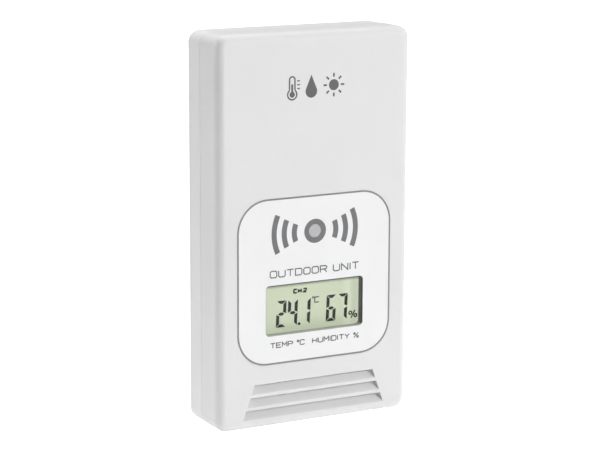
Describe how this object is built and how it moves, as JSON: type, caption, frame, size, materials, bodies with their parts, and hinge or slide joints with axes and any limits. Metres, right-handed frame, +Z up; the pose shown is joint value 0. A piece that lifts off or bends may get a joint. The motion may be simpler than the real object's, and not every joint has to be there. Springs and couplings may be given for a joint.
{
  "type": "wireless weather sensor",
  "caption": "Slim upright wireless temperature and humidity sensor: two-part case with display window, louvres, hinged battery lid and keyhole hanger.",
  "frame": {"origin": "middle of the flat base", "axes": "+Z up, the front with the display faces -Y, +X to the right seen from the front"},
  "size_m": [0.0686, 0.0212, 0.1258],
  "materials": {
    "case_white": "finely textured moulded ABS",
    "label_white": "satin printed film",
    "bezel_grey": "fine matt moulding",
    "clear_pane": "clear polished acrylic",
    "display_film": "satin film",
    "display_glass": "polished thin glass",
    "dark_rubber": "layered silicone rubber",
    "lens_grey": "frosted translucent plastic",
    "lamp_red": "clear tinted resin",
    "board_green": "solder mask over glass laminate",
    "resin_black": "cured resin",
    "tinned_can": "drawn and tinned",
    "capacitor_sleeve": "shrunk sleeve",
    "chip_ceramic": "fired ceramic with tinned ends",
    "chip_white": "moulded package",
    "bead_epoxy": "dipped epoxy bead",
    "header_black": "moulded strip with plated pins",
    "copper_wire": "enamelled copper",
    "screw_steel": "zinc plated",
    "cell_can": "printed film over the can, bare ends",
    "contact_plate": "nickel plated sheet",
    "spring_steel": "nickel plated wire",
    "wire_red": "extruded insulation",
    "wire_black": "extruded insulation",
    "switch_steel": "folded tinned sheet",
    "knob_black": "moulded",
    "switch_black": "moulded",
    "button_white": "moulded"
  },
  "bodies": {
    "case": {"antenna_coil": "copper_wire", "black_lead": "wire_black", "board_screws": "screw_steel", "bridge_contact": "contact_plate", "case_screws": "screw_steel", "channel_switch_frame": "switch_steel", "chip_cap": "resin_black", "contact_springs": "spring_steel", "crystal": "tinned_can", "display_bezel": "bezel_grey", "display_front_glass": "display_glass", "display_polariser": "display_film", "display_rear_glass": "display_glass", "display_reflector": "display_film", "display_window": "clear_pane", "front_cover": "case_white", "humidity_sensor": "chip_white", "label_panel": "label_white", "lamp_lens": "lens_grey", "lower_cell": "cell_can", "main_board": "board_green", "minus_contact": "contact_plate", "plus_contact": "contact_plate", "radio_board": "board_green", "radio_header": "header_black", "radio_resonator": "tinned_can", "rear_case": "case_white", "red_lead": "wire_red", "reservoir_capacitor": "capacitor_sleeve", "reset_switch_frame": "switch_black", "signal_lamp": "lamp_red", "surface_parts": "chip_ceramic", "thermistor": "bead_epoxy", "unit_switch_frame": "switch_black", "upper_cell": "cell_can", "zebra_strip_bottom": "dark_rubber", "zebra_strip_top": "dark_rubber"},
    "battery_door": {"battery_door": "case_white"},
    "channel_knob": {"channel_knob": "knob_black"},
    "reset_button": {"reset_button": "button_white"},
    "unit_button": {"unit_button": "button_white"}
  },
  "joints": [
    {"name": "battery_door_hinge", "type": "hinge", "parent": "case", "child": "battery_door", "pos_m": [0, 0.0091, 0.06025], "axis": [-1, 0, 0], "range_deg": [0, 90]},
    {"name": "channel_knob_slide", "type": "slide", "parent": "case", "child": "channel_knob", "axis": [1, 0, 0], "range_m": [-0.002, 0.002]},
    {"name": "reset_button_press", "type": "slide", "parent": "case", "child": "reset_button", "axis": [0, -1, 0], "range_m": [0, 0.0003], "stiffness_N_per_m": 1000, "springref_m": -0.0005},
    {"name": "unit_button_press", "type": "slide", "parent": "case", "child": "unit_button", "axis": [0, -1, 0], "range_m": [0, 0.0003], "stiffness_N_per_m": 1000, "springref_m": -0.0005}
  ]
}
